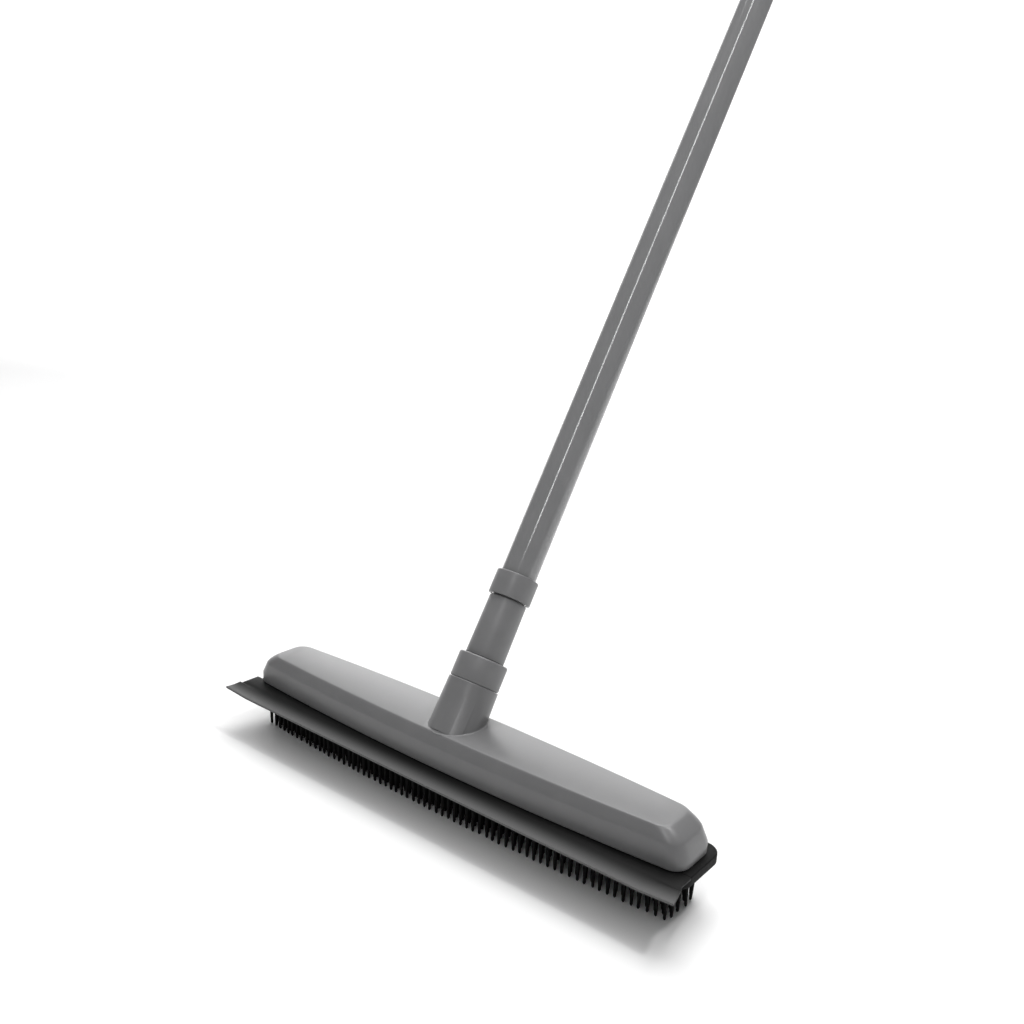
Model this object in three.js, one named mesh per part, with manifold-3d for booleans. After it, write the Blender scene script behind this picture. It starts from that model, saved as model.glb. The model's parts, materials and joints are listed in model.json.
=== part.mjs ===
// Rubber push broom with a squeegee lip and a telescopic pole.
// Millimetres. +X runs along the head, -Y is the squeegee side, +Z is up.
// The bristle tips stand on Z = 0; the pole leans back towards +Y.
import * as THREE from 'three';
import { mergeVertices } from 'three/addons/utils/BufferGeometryUtils.js';
import Module from 'manifold-3d';

// ---- driving dimensions -------------------------------------------------------------

// fits
const GAP = 0.3;                  // gap between two pieces that touch
const SLIDE_FIT = 0.05;           // radial gap of a sliding fit
const TURN_FIT = 0.15;            // radial gap of a turning fit, more than a facet's height
const CUT = 2;                    // how far a cutting tool runs past the face it opens

// head cover: a lens-shaped plan, a steep side, a shoulder and a flat top
const HEAD_LENGTH = 324;
const HEAD_WIDTH = 45;            // across the middle of the lower edge
const HEAD_END_WIDTH = 33;        // across the lower edge near each end
const COVER_BOTTOM = 30;          // height of the lower edge above the bristle tips
const SIDE_HEIGHT = 12.5;         // steep side, up to the shoulder
const COVER_HEIGHT = 20;
const SIDE_DRAFT = 0.7;
const SHOULDER_INSET = 4.2;       // how far the flat top stands in from the lower edge
const END_SLOPE = 8;              // extra slope of the two end faces
const COVER_CORNER = 9;           // corner radius in plan
const COVER_WALL = 2.4;
const RIB_COUNT = 6;
const RIB_THICKNESS = 1.6;
const RIB_DEPTH = 7;
const RIB_END_CLEAR = 25;         // ribs keep this far off the ends of the head
const RIB_MIDDLE_CLEAR = 8;       // extra room that the ribs leave for the boss

// boss and socket that take the pole
const POLE_LEAN = THREE.MathUtils.degToRad(33);
const BOSS_Y = 1.5;               // where the pole axis meets the flat top
const BOSS_STEP = 0.3;            // top of the boss outside the socket collar
const BOSS_TAPER = 0.7;           // foot of the boss outside its top
const BOSS_RISE = 23.3;           // along the pole axis, from the flat top to the collar
const BOSS_FLOOR = -9;            // bottom of the socket bore, along the pole axis
const SPIGOT_WALL = 1.5;
const INSERT_WALL = 1.3;

// collars and adapter
const SOCKET_COLLAR_WALL = 1.5;
const SOCKET_COLLAR_LENGTH = 16;
const ADAPTER_FOOT_STEP = 1;      // foot of the adapter outside the tube
const ADAPTER_TOP_STEP = 0.6;     // top of the adapter outside the tube
const ADAPTER_VISIBLE = 37;
const ADAPTER_WALL = 2;
const PLUG_STEP = 0.85;           // screw plug inside the tube's outer wall
const PLUG_CHAMFER = 1;
const COLLAR_LIP = 2;
const COLLAR_REVEAL = 1;          // open line between the adapter and the pole collar
const SPIGOT_LENGTH = 28;
const POLE_COLLAR_WALL = 1.9;
const POLE_COLLAR_LENGTH = 15;

// telescopic pole
const LOWER_TUBE_RADIUS = 11;
const UPPER_TUBE_CLEARANCE = 0.9; // room between the two tubes, which the bush fills
const TUBE_WALL = 0.8;
const LOWER_TUBE_LENGTH = 620;
const UPPER_TUBE_CLEAR = 20;      // pushed in, the upper tube stops this far above the adapter
const BUSH_LENGTH = 24;
const FOOT_PLUG_FLANGE = 3;

// twist lock
const COLLET_WALL = 1.6;
const COLLET_SKIRT = 30;
const COLLET_FINGERS = 14;
const COLLET_SLOTS = 4;
const COLLET_SLOT_WIDTH = 2.4;
const NUT_WALL = 2.6;
const NUT_LENGTH = 52;
const NUT_LIP = 3;
const NUT_FLUTES = 12;
const NUT_FLUTE_RADIUS = 1.6;
const NUT_FLUTE_OFFSET = 0.5;     // centre of a flute outside the nut's wall
const NUT_FLUTE_START = 8;        // from the foot of the nut
const NUT_FLUTE_END = 12;         // from the top of the nut

// grip and hanging cap
const GRIP_LENGTH = 112;
const GRIP_REST_GAP = 3;          // pushed in, the grip stops this far above the lock nut
const GRIP_WALL = 3;
const GRIP_RINGS = 7;
const GRIP_RING_HEIGHT = 0.8;
const GRIP_RING_START = 14;       // from the foot of the grip
const GRIP_PLAIN_LENGTH = 36;     // length of the grip without rings
const GRIP_FLOOR = 4;
const CAP_LENGTH = 34;
const CAP_STEP = 0.6;             // cap inside the grip's wall
const CAP_THICKNESS = 9;
const CAP_HOLE_RADIUS = 6.5;
const CAP_FOOT = 6;
const PIN_RADIUS = 3;
const PIN_HEAD_RADIUS = 4;
const PIN_HEAD_HEIGHT = 2;
const PIN_DEPTH = 12;
const PIN_CLEAR = 4;              // top plug below the end of the pin

// rubber pad, bristle field and squeegee lip
const RIM_OVERHANG = 5;           // rim outside the cover's lower edge
const RIM_END_OVERHANG = 3.5;     // rim past each end of the cover
const PAD_SHIFT = 2;              // the pad sits this far towards +X under the cover
const RIM_THICKNESS = 5.7;
const PAD_BASE_BOTTOM = 20;
const PAD_INSET = 6;              // base block in from the rim
const BRISTLE_INSET = 1.6;        // bristle field in from the base block
const BRISTLE_TAPER = 1;          // the field's foot in from its root
const BLADE_THICKNESS = 1.7;
const BLADE_LIP_THICKNESS = 1.1;
const BLADE_ROOT_DEPTH = 10;      // how far the root reaches under the cover's front edge
const BLADE_OVERHANG = 14;        // lip in front of the cover's front edge
const BLADE_END_OVERHANG = 8;     // blade past each end of the head
const BLADE_DIP = 4.6;            // lowest point of the hollow below the root
const BLADE_LIP_DROP = 3.2;       // lip below the root

// carrier plate and its screws
const CARRIER_THICKNESS = 3;
const SCREW_END_INSET = 30;       // outer screws in from the ends of the head
const SCREW_RADIUS = 1.75;
const SCREW_HEAD_RADIUS = 3.6;
const SCREW_HEAD_HEIGHT = 2.4;
const SCREW_LENGTH = 18;
const SCREW_POST_WALL = 1.6;

// facets
const ROUND = 28;
const SMALL_ROUND = 10;
const SIDE_STEPS = 8;
const CORNER_STEPS = 4;

// ---- sizes worked out from them -----------------------------------------------------

const COVER_TOP = COVER_BOTTOM + COVER_HEIGHT;
const PAD_TOP = COVER_BOTTOM - GAP;
const RIM_BOTTOM = PAD_TOP - RIM_THICKNESS;
const BLADE_ROOT_BOTTOM = PAD_TOP - BLADE_THICKNESS;
const CARRIER_BOTTOM = COVER_BOTTOM;
const CARRIER_TOP = CARRIER_BOTTOM + CARRIER_THICKNESS;
const BLADE_LENGTH = HEAD_LENGTH + 2 * BLADE_END_OVERHANG;
const SCREW_REACH = HEAD_LENGTH / 2 - SCREW_END_INSET;
const PLUG_RADIUS = LOWER_TUBE_RADIUS - PLUG_STEP;
const INSERT_RADIUS = PLUG_RADIUS + TURN_FIT + INSERT_WALL;
const SPIGOT_RADIUS = INSERT_RADIUS + GAP + SPIGOT_WALL;
const SOCKET_COLLAR_RADIUS = SPIGOT_RADIUS + GAP + SOCKET_COLLAR_WALL;
const BOSS_TOP_RADIUS = SOCKET_COLLAR_RADIUS + BOSS_STEP;
const BOSS_FOOT_RADIUS = BOSS_TOP_RADIUS + BOSS_TAPER;
const ADAPTER_FOOT_RADIUS = LOWER_TUBE_RADIUS + ADAPTER_FOOT_STEP;
const ADAPTER_TOP_RADIUS = LOWER_TUBE_RADIUS + ADAPTER_TOP_STEP;
const POLE_COLLAR_RADIUS = LOWER_TUBE_RADIUS + GAP + POLE_COLLAR_WALL;
const COLLAR_TOP = BOSS_RISE + GAP + SOCKET_COLLAR_LENGTH;
const SPIGOT_TOP = COLLAR_TOP - COLLAR_LIP - GAP * 2;
const ADAPTER_TOP = COLLAR_TOP + ADAPTER_VISIBLE;
const TUBE_BOTTOM = ADAPTER_TOP + COLLAR_REVEAL;
const TUBE_BORE = LOWER_TUBE_RADIUS - TUBE_WALL;
const UPPER_TUBE_RADIUS = TUBE_BORE - UPPER_TUBE_CLEARANCE;
const UPPER_BORE = UPPER_TUBE_RADIUS - TUBE_WALL;
const POLE_COLLAR_TOP = TUBE_BOTTOM + POLE_COLLAR_LENGTH;
const TUBE_TOP = TUBE_BOTTOM + LOWER_TUBE_LENGTH;
const PLUG_TOP = TUBE_BOTTOM + SPIGOT_LENGTH;
const UPPER_BOTTOM = PLUG_TOP + UPPER_TUBE_CLEAR;
const COLLET_BOTTOM = TUBE_TOP - COLLET_SKIRT;
const COLLET_TOP = TUBE_TOP + GAP + COLLET_FINGERS;
const COLLET_RADIUS = LOWER_TUBE_RADIUS + GAP + COLLET_WALL;
const NUT_BORE = COLLET_RADIUS + TURN_FIT;
const NUT_RADIUS = NUT_BORE + NUT_WALL;
const NUT_TOP = COLLET_TOP + GAP + NUT_LIP;
const NUT_BOTTOM = NUT_TOP - NUT_LENGTH;
const GRIP_BOTTOM = NUT_TOP + GRIP_REST_GAP;
const GRIP_TOP = GRIP_BOTTOM + GRIP_LENGTH;
const GRIP_RADIUS = UPPER_TUBE_RADIUS + GAP + GRIP_WALL;
const CAP_RADIUS = GRIP_RADIUS - CAP_STEP;
const UPPER_TOP = GRIP_TOP - GRIP_FLOOR - GAP;
const CAP_BOTTOM = GRIP_TOP + GAP;

// ---- helpers ------------------------------------------------------------------------

const wasm = await Module();
wasm.setup();

function toSolid(geometry) {
  const bare = geometry.index ? geometry.clone() : geometry;
  bare.deleteAttribute('normal');
  bare.deleteAttribute('uv');
  const merged = mergeVertices(bare, 1e-4);
  return new wasm.Manifold(new wasm.Mesh({
    numProp: 3,
    vertProperties: Float32Array.from(merged.attributes.position.array),
    triVerts: Uint32Array.from(merged.index.array),
  }));
}

function toGeometry(solid) {
  const mesh = solid.getMesh();
  const geometry = new THREE.BufferGeometry();
  geometry.setAttribute('position', new THREE.BufferAttribute(mesh.vertProperties, 3));
  geometry.setIndex(new THREE.BufferAttribute(mesh.triVerts, 1));
  geometry.computeVertexNormals();
  return geometry;
}

// a turned solid about Z from a closed list of [radius, height] corners
function turned(profile, sides = ROUND) {
  const points = [...profile, profile[0]].map(([r, z]) => new THREE.Vector2(r, z));
  return toSolid(new THREE.LatheGeometry(points, sides).rotateX(Math.PI / 2));
}

// a turned solid whose heights rise anticlockwise: outer wall up, inner wall down
function ring(innerRadius, outerRadius, bottom, top, sides = ROUND) {
  return turned([
    [innerRadius, bottom],
    [outerRadius, bottom],
    [outerRadius, top],
    [innerRadius, top],
  ], sides);
}

function rod(radius, bottom, top, sides = ROUND) {
  return ring(0, radius, bottom, top, sides);
}

function block(lowX, highX, lowY, highY, lowZ, highZ) {
  const box = new THREE.BoxGeometry(highX - lowX, highY - lowY, highZ - lowZ);
  return toSolid(box.translate((lowX + highX) / 2, (lowY + highY) / 2, (lowZ + highZ) / 2));
}

// corners of the head's plan, moved in by `inset` along the sides and `endInset` at the ends
function headPlan(inset, endInset = inset) {
  const halfEnd = HEAD_END_WIDTH / 2 - inset;
  const bulge = (HEAD_WIDTH - HEAD_END_WIDTH) / 2;
  const radius = Math.max(COVER_CORNER - Math.max(inset, 0), 2);
  const run = HEAD_LENGTH / 2 - endInset - radius;
  const half = [];
  for (let i = 0; i < SIDE_STEPS; i += 1) {
    const x = -run + (2 * run * i) / SIDE_STEPS;
    half.push([x, -halfEnd - bulge * (1 - (x / run) ** 2)]);
  }
  for (let i = 0; i <= CORNER_STEPS; i += 1) {
    const turn = (i / CORNER_STEPS) * (Math.PI / 2);
    half.push([run + radius * Math.sin(turn), -halfEnd + radius * (1 - Math.cos(turn))]);
  }
  for (let i = 0; i < CORNER_STEPS; i += 1) {
    const turn = (i / CORNER_STEPS) * (Math.PI / 2);
    half.push([run + radius * Math.cos(turn), halfEnd - radius * (1 - Math.sin(turn))]);
  }
  return [...half, ...half.map(([x, y]) => [-x, -y])];
}

// a solid through equal-length rings of [x, y, z] corners, closed by a flat cap at each end
function loft(rings) {
  const count = rings[0].length;
  const positions = rings.flat(2);
  const index = [];
  for (let level = 0; level < rings.length - 1; level += 1) {
    for (let i = 0; i < count; i += 1) {
      const a = level * count + i;
      const b = level * count + ((i + 1) % count);
      index.push(a, b, b + count, a, b + count, a + count);
    }
  }
  const last = (rings.length - 1) * count;
  const outline = rings[0].map(([x, y]) => new THREE.Vector2(x, y));
  THREE.ShapeUtils.triangulateShape(outline, []).forEach(([a, b, c]) => index.push(c, b, a));
  const topOutline = rings.at(-1).map(([x, y]) => new THREE.Vector2(x, y));
  THREE.ShapeUtils.triangulateShape(topOutline, [])
    .forEach(([a, b, c]) => index.push(last + a, last + b, last + c));
  const geometry = new THREE.BufferGeometry();
  geometry.setAttribute('position', new THREE.Float32BufferAttribute(positions, 3));
  geometry.setIndex(index);
  return toSolid(geometry);
}

function headSlab(inset, endInset, bottom, top) {
  const plan = headPlan(inset, endInset);
  return loft([bottom, top].map((z) => plan.map(([x, y]) => [x, y, z])));
}

// moves a solid from the pole's own frame, whose Z is the pole axis, to the head's frame
const poleFrame = new THREE.Matrix4()
  .makeTranslation(0, BOSS_Y, COVER_TOP)
  .multiply(new THREE.Matrix4().makeRotationX(-POLE_LEAN));

function onPole(solid) {
  return toSolid(toGeometry(solid).applyMatrix4(poleFrame));
}

function union(solids) {
  return solids.reduce((sum, solid) => sum.add(solid));
}

const GREY_PLASTIC = { color: 0x85868a, roughness: 0.42, metalness: 0 };
const PALE_PLASTIC = { color: 0x9a9b9e, roughness: 0.5, metalness: 0 };
const GREY_TUBE = { color: 0x808186, roughness: 0.3, metalness: 0.2 };
const BLACK_RUBBER = { color: 0x141415, roughness: 0.7, metalness: 0 };
const ZINC_STEEL = { color: 0xb4b6ba, roughness: 0.35, metalness: 1 };

function part(name, solid, finish) {
  const mesh = new THREE.Mesh(toGeometry(solid), new THREE.MeshStandardMaterial(finish));
  mesh.name = name;
  return mesh;
}

// ---- head ---------------------------------------------------------------------------

const screwPlaces = [-1, -0.5, 0.5, 1].map((share) => [share * SCREW_REACH, 0]);
const screwHeadTop = RIM_BOTTOM;
const screwTop = screwHeadTop + SCREW_LENGTH;

function coverLoft(inset, lift) {
  const levels = [
    [0, 0, 0],
    [SIDE_DRAFT, SIDE_DRAFT, SIDE_HEIGHT],
    [SIDE_DRAFT + SHOULDER_INSET * 0.3, SIDE_DRAFT + END_SLOPE * 0.45, SIDE_HEIGHT + COVER_HEIGHT * 0.24],
    [SHOULDER_INSET, SHOULDER_INSET + END_SLOPE, COVER_HEIGHT],
  ];
  return loft(levels.map(([side, end, height]) => headPlan(side + inset, end + inset)
    .map(([x, y]) => [x, y, COVER_BOTTOM + height + lift])));
}

function makeCover() {
  const boss = onPole(turned([
    [0, BOSS_FLOOR],
    [BOSS_FOOT_RADIUS, BOSS_FLOOR],
    [BOSS_TOP_RADIUS, BOSS_RISE],
    [SPIGOT_RADIUS, BOSS_RISE],
    [SPIGOT_RADIUS, SPIGOT_TOP],
    [0, SPIGOT_TOP],
  ]));
  const bore = onPole(rod(INSERT_RADIUS + GAP, BOSS_FLOOR + COVER_WALL, COLLAR_TOP + CUT));
  const hollow = union([
    coverLoft(COVER_WALL, -COVER_WALL),
    headSlab(COVER_WALL, COVER_WALL, COVER_BOTTOM - CUT, COVER_BOTTOM + CUT),
  ]);
  const ribHeight = COVER_TOP - COVER_WALL / 2;
  const ribs = [];
  const span = HEAD_LENGTH - 2 * RIB_END_CLEAR;
  for (let i = 0; i < RIB_COUNT; i += 1) {
    const shift = i < RIB_COUNT / 2 ? -RIB_MIDDLE_CLEAR : RIB_MIDDLE_CLEAR;
    const x = (span * (i + 0.5)) / RIB_COUNT - span / 2 + shift;
    ribs.push(block(x, x + RIB_THICKNESS, -HEAD_WIDTH / 2, HEAD_WIDTH / 2,
      ribHeight - RIB_DEPTH, ribHeight));
  }
  const postRadius = SCREW_RADIUS + SCREW_POST_WALL;
  const postBottom = CARRIER_TOP + GAP;
  const posts = screwPlaces.map(([x, y]) => rod(postRadius, postBottom, ribHeight, SMALL_ROUND)
    .translate([x, y, 0]));
  const holes = screwPlaces.map(([x, y]) => rod(SCREW_RADIUS + GAP, postBottom - CUT,
    screwTop + CUT, SMALL_ROUND).translate([x, y, 0]));
  const outside = coverLoft(0, 0);
  const inside = union([...ribs, ...posts]).intersect(outside);
  return outside.subtract(hollow)
    .add(inside)
    .add(boss.intersect(block(-HEAD_WIDTH, HEAD_WIDTH, -HEAD_WIDTH, HEAD_WIDTH * 2,
      CARRIER_TOP + GAP, COVER_TOP + BOSS_RISE + SOCKET_COLLAR_LENGTH)))
    .subtract(union([bore, ...holes]));
}

function makeCarrier() {
  const inset = COVER_WALL + SIDE_DRAFT + GAP;
  const plate = headSlab(inset, inset, CARRIER_BOTTOM, CARRIER_TOP);
  const holes = screwPlaces.map(([x, y]) => rod(SCREW_RADIUS + GAP, CARRIER_BOTTOM - CUT,
    CARRIER_TOP + CUT, SMALL_ROUND).translate([x, y, 0]));
  return plate.subtract(union(holes));
}

function makeScrew([x, y]) {
  return turned([
    [0, screwHeadTop - SCREW_HEAD_HEIGHT],
    [SCREW_HEAD_RADIUS * 0.8, screwHeadTop - SCREW_HEAD_HEIGHT],
    [SCREW_HEAD_RADIUS, screwHeadTop - SCREW_HEAD_HEIGHT / 2],
    [SCREW_HEAD_RADIUS, screwHeadTop],
    [SCREW_RADIUS, screwHeadTop],
    [SCREW_RADIUS, screwTop - SCREW_RADIUS * 1.5],
    [0, screwTop],
  ], SMALL_ROUND).translate([x, y, 0]);
}

// the recess in the rim that the blade's root lies in, open to the front
function bladeRecess() {
  const front = -HEAD_WIDTH / 2;
  const outside = front - RIM_OVERHANG - CUT;
  const half = HEAD_LENGTH / 2 - COVER_CORNER + GAP;
  const seat = block(-half, half, outside, front + BLADE_ROOT_DEPTH + GAP,
    BLADE_ROOT_BOTTOM - GAP, PAD_TOP + CUT);
  return seat.add(block(-BLADE_LENGTH, BLADE_LENGTH, outside, front + GAP,
    PAD_BASE_BOTTOM - CUT, PAD_TOP + CUT));
}

function makePad() {
  const rim = headSlab(-RIM_OVERHANG, -RIM_END_OVERHANG, RIM_BOTTOM, PAD_TOP);
  const baseInset = PAD_INSET - RIM_OVERHANG;
  const base = headSlab(baseInset, baseInset, PAD_BASE_BOTTOM, RIM_BOTTOM + CUT);
  const root = baseInset + BRISTLE_INSET;
  const foot = root + BRISTLE_TAPER;
  const bristles = loft([[foot, 0], [root, PAD_BASE_BOTTOM + CUT]].map(([inset, z]) => headPlan(inset)
    .map(([x, y]) => [x, y, z])));
  const sinks = screwPlaces.map(([x, y]) => rod(SCREW_HEAD_RADIUS + GAP, -CUT,
    screwHeadTop + GAP, SMALL_ROUND).translate([x, y, 0]));
  const holes = screwPlaces.map(([x, y]) => rod(SCREW_RADIUS + GAP, -CUT,
    PAD_TOP + CUT, SMALL_ROUND).translate([x, y, 0]));
  return union([rim, base, bristles])
    .translate([PAD_SHIFT, 0, 0])
    .subtract(union([...sinks, ...holes, bladeRecess()]));
}

// the blade's section: a flat root, a hollow sweep and a thin lip, drawn as [y, z]
function makeBlade() {
  const frontEdge = -HEAD_WIDTH / 2;
  const rootBack = frontEdge + BLADE_ROOT_DEPTH;
  const lipY = frontEdge - BLADE_OVERHANG;
  const sweep = new THREE.CubicBezierCurve(
    new THREE.Vector2(frontEdge, PAD_TOP - BLADE_THICKNESS / 2),
    new THREE.Vector2(frontEdge - BLADE_OVERHANG * 0.25, PAD_TOP - BLADE_DIP),
    new THREE.Vector2(frontEdge - BLADE_OVERHANG * 0.6, PAD_TOP - BLADE_DIP - 0.6),
    new THREE.Vector2(lipY, PAD_TOP - BLADE_LIP_DROP),
  );
  const steps = 8;
  const top = [];
  const bottom = [];
  for (let i = 0; i <= steps; i += 1) {
    const t = i / steps;
    const at = sweep.getPoint(t);
    const along = sweep.getTangent(t);
    const half = THREE.MathUtils.lerp(BLADE_THICKNESS, BLADE_LIP_THICKNESS, t) / 2;
    const normal = i === 0 ? new THREE.Vector2(0, 1) : new THREE.Vector2(along.y, -along.x);
    top.push(at.clone().addScaledVector(normal, half));
    bottom.push(at.clone().addScaledVector(normal, -half));
  }
  const section = new THREE.Shape([
    new THREE.Vector2(rootBack, BLADE_ROOT_BOTTOM),
    new THREE.Vector2(rootBack, PAD_TOP),
    ...top,
    ...bottom.reverse(),
  ]);
  const strip = new THREE.ExtrudeGeometry(section, { depth: BLADE_LENGTH, bevelEnabled: false });
  const basis = new THREE.Matrix4().makeBasis(
    new THREE.Vector3(0, 1, 0), new THREE.Vector3(0, 0, 1), new THREE.Vector3(1, 0, 0));
  const full = toSolid(strip.applyMatrix4(basis).translate(-BLADE_LENGTH / 2, 0, 0));
  const rootHalf = HEAD_LENGTH / 2 - COVER_CORNER;
  const corner = (side) => {
    const inner = side * rootHalf;
    const outer = side * (BLADE_LENGTH / 2 + CUT);
    return block(Math.min(inner, outer), Math.max(inner, outer), frontEdge, rootBack + CUT,
      BLADE_ROOT_BOTTOM - CUT, PAD_TOP + CUT);
  };
  return full.subtract(corner(-1)).subtract(corner(1));
}

// ---- socket, adapter and pole, all drawn along the pole axis --------------------------

function makeSocketCollar() {
  return turned([
    [SPIGOT_RADIUS + GAP, BOSS_RISE + GAP],
    [SOCKET_COLLAR_RADIUS, BOSS_RISE + GAP],
    [SOCKET_COLLAR_RADIUS, COLLAR_TOP - GAP],
    [PLUG_RADIUS + GAP, COLLAR_TOP - GAP],
    [PLUG_RADIUS + GAP, COLLAR_TOP - GAP - COLLAR_LIP],
    [SPIGOT_RADIUS + GAP, COLLAR_TOP - GAP - COLLAR_LIP],
  ]);
}

function makeThreadInsert() {
  return ring(PLUG_RADIUS + TURN_FIT, INSERT_RADIUS, BOSS_FLOOR + COVER_WALL + GAP, SPIGOT_TOP);
}

function makeAdapter() {
  const bottom = BOSS_FLOOR + COVER_WALL + GAP * 2;
  const bore = TUBE_BORE - GAP - ADAPTER_WALL;
  return turned([
    [bore, bottom],
    [PLUG_RADIUS - PLUG_CHAMFER, bottom],
    [PLUG_RADIUS, bottom + PLUG_CHAMFER * 2],
    [PLUG_RADIUS, COLLAR_TOP],
    [ADAPTER_FOOT_RADIUS, COLLAR_TOP],
    [ADAPTER_TOP_RADIUS, ADAPTER_TOP],
    [TUBE_BORE - GAP, ADAPTER_TOP],
    [TUBE_BORE - GAP, PLUG_TOP],
    [bore, PLUG_TOP],
  ]);
}

function makePoleCollar() {
  return ring(LOWER_TUBE_RADIUS + GAP, POLE_COLLAR_RADIUS, TUBE_BOTTOM, POLE_COLLAR_TOP);
}

function makeLowerTube() {
  return ring(TUBE_BORE, LOWER_TUBE_RADIUS, TUBE_BOTTOM, TUBE_TOP);
}

function makeUpperTube() {
  return ring(UPPER_BORE, UPPER_TUBE_RADIUS, UPPER_BOTTOM, UPPER_TOP);
}

// a bush at the foot of the upper tube, which slides in the lower tube
function makeGuideBush() {
  return turned([
    [UPPER_TUBE_RADIUS + GAP, UPPER_BOTTOM],
    [TUBE_BORE - SLIDE_FIT, UPPER_BOTTOM],
    [TUBE_BORE - SLIDE_FIT, UPPER_BOTTOM + BUSH_LENGTH],
    [UPPER_TUBE_RADIUS + GAP, UPPER_BOTTOM + BUSH_LENGTH],
  ]);
}

function makeFootPlug() {
  return turned([
    [0, UPPER_BOTTOM - FOOT_PLUG_FLANGE - GAP],
    [TUBE_BORE - SLIDE_FIT * 4, UPPER_BOTTOM - FOOT_PLUG_FLANGE - GAP],
    [TUBE_BORE - SLIDE_FIT * 4, UPPER_BOTTOM - GAP],
    [UPPER_BORE - GAP, UPPER_BOTTOM - GAP],
    [UPPER_BORE - GAP, UPPER_BOTTOM + BUSH_LENGTH / 2],
    [0, UPPER_BOTTOM + BUSH_LENGTH / 2],
  ]);
}

function makeCollet() {
  const skirt = ring(LOWER_TUBE_RADIUS + GAP, COLLET_RADIUS, COLLET_BOTTOM, TUBE_TOP + GAP);
  const fingers = turned([
    [UPPER_TUBE_RADIUS + GAP, TUBE_TOP + GAP],
    [COLLET_RADIUS, TUBE_TOP + GAP],
    [COLLET_RADIUS - COLLET_WALL / 2, COLLET_TOP],
    [UPPER_TUBE_RADIUS + GAP, COLLET_TOP],
  ]);
  const slots = [];
  for (let i = 0; i < COLLET_SLOTS / 2; i += 1) {
    const slot = block(-COLLET_SLOT_WIDTH / 2, COLLET_SLOT_WIDTH / 2, -COLLET_RADIUS - CUT,
      COLLET_RADIUS + CUT, TUBE_TOP + CUT, COLLET_TOP + CUT);
    slots.push(slot.rotate([0, 0, (360 * i) / COLLET_SLOTS]));
  }
  return skirt.add(fingers).subtract(union(slots));
}

function makeLockNut() {
  const sleeve = turned([
    [NUT_BORE, NUT_BOTTOM],
    [NUT_RADIUS - 1.2, NUT_BOTTOM],
    [NUT_RADIUS, NUT_BOTTOM + 3],
    [NUT_RADIUS, NUT_TOP - 5],
    [NUT_RADIUS - 2, NUT_TOP],
    [UPPER_TUBE_RADIUS + GAP, NUT_TOP],
    [UPPER_TUBE_RADIUS + GAP, NUT_TOP - NUT_LIP],
    [NUT_BORE, NUT_TOP - NUT_LIP],
  ], ROUND);
  const flutes = [];
  for (let i = 0; i < NUT_FLUTES; i += 1) {
    const angle = (2 * Math.PI * i) / NUT_FLUTES;
    const flute = rod(NUT_FLUTE_RADIUS, NUT_BOTTOM + NUT_FLUTE_START, NUT_TOP - NUT_FLUTE_END,
      SMALL_ROUND);
    flutes.push(flute.translate([
      (NUT_RADIUS + NUT_FLUTE_OFFSET) * Math.cos(angle),
      (NUT_RADIUS + NUT_FLUTE_OFFSET) * Math.sin(angle),
      0,
    ]));
  }
  return sleeve.subtract(union(flutes));
}

function makeGrip() {
  const inner = UPPER_TUBE_RADIUS + GAP;
  const outline = [
    [inner, GRIP_BOTTOM],
    [GRIP_RADIUS - 1, GRIP_BOTTOM],
    [GRIP_RADIUS, GRIP_BOTTOM + 2],
  ];
  const first = GRIP_BOTTOM + GRIP_RING_START;
  const step = (GRIP_LENGTH - GRIP_PLAIN_LENGTH) / GRIP_RINGS;
  for (let i = 0; i < GRIP_RINGS; i += 1) {
    const z = first + step * i;
    outline.push([GRIP_RADIUS, z]);
    outline.push([GRIP_RADIUS + GRIP_RING_HEIGHT, z + step * 0.25]);
    outline.push([GRIP_RADIUS, z + step * 0.5]);
  }
  outline.push(
    [GRIP_RADIUS, GRIP_TOP - 3],
    [GRIP_RADIUS - 1.5, GRIP_TOP],
    [PIN_RADIUS + GAP, GRIP_TOP],
    [PIN_RADIUS + GAP, GRIP_TOP - GRIP_FLOOR],
    [inner, GRIP_TOP - GRIP_FLOOR],
  );
  return turned(outline);
}

function makeTopPlug() {
  return turned([
    [PIN_RADIUS + GAP, UPPER_TOP - PIN_DEPTH - PIN_CLEAR],
    [UPPER_BORE - GAP, UPPER_TOP - PIN_DEPTH - PIN_CLEAR],
    [UPPER_BORE - GAP, UPPER_TOP - GAP],
    [PIN_RADIUS + GAP, UPPER_TOP - GAP],
  ]);
}

// a headed pin that ties the hanging cap to the top plug and lets it swivel
function makeSwivelPin() {
  return rod(PIN_RADIUS, UPPER_TOP - PIN_DEPTH, CAP_BOTTOM + CAP_FOOT)
    .add(rod(PIN_HEAD_RADIUS, CAP_BOTTOM + CAP_FOOT, CAP_BOTTOM + CAP_FOOT + PIN_HEAD_HEIGHT));
}

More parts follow.
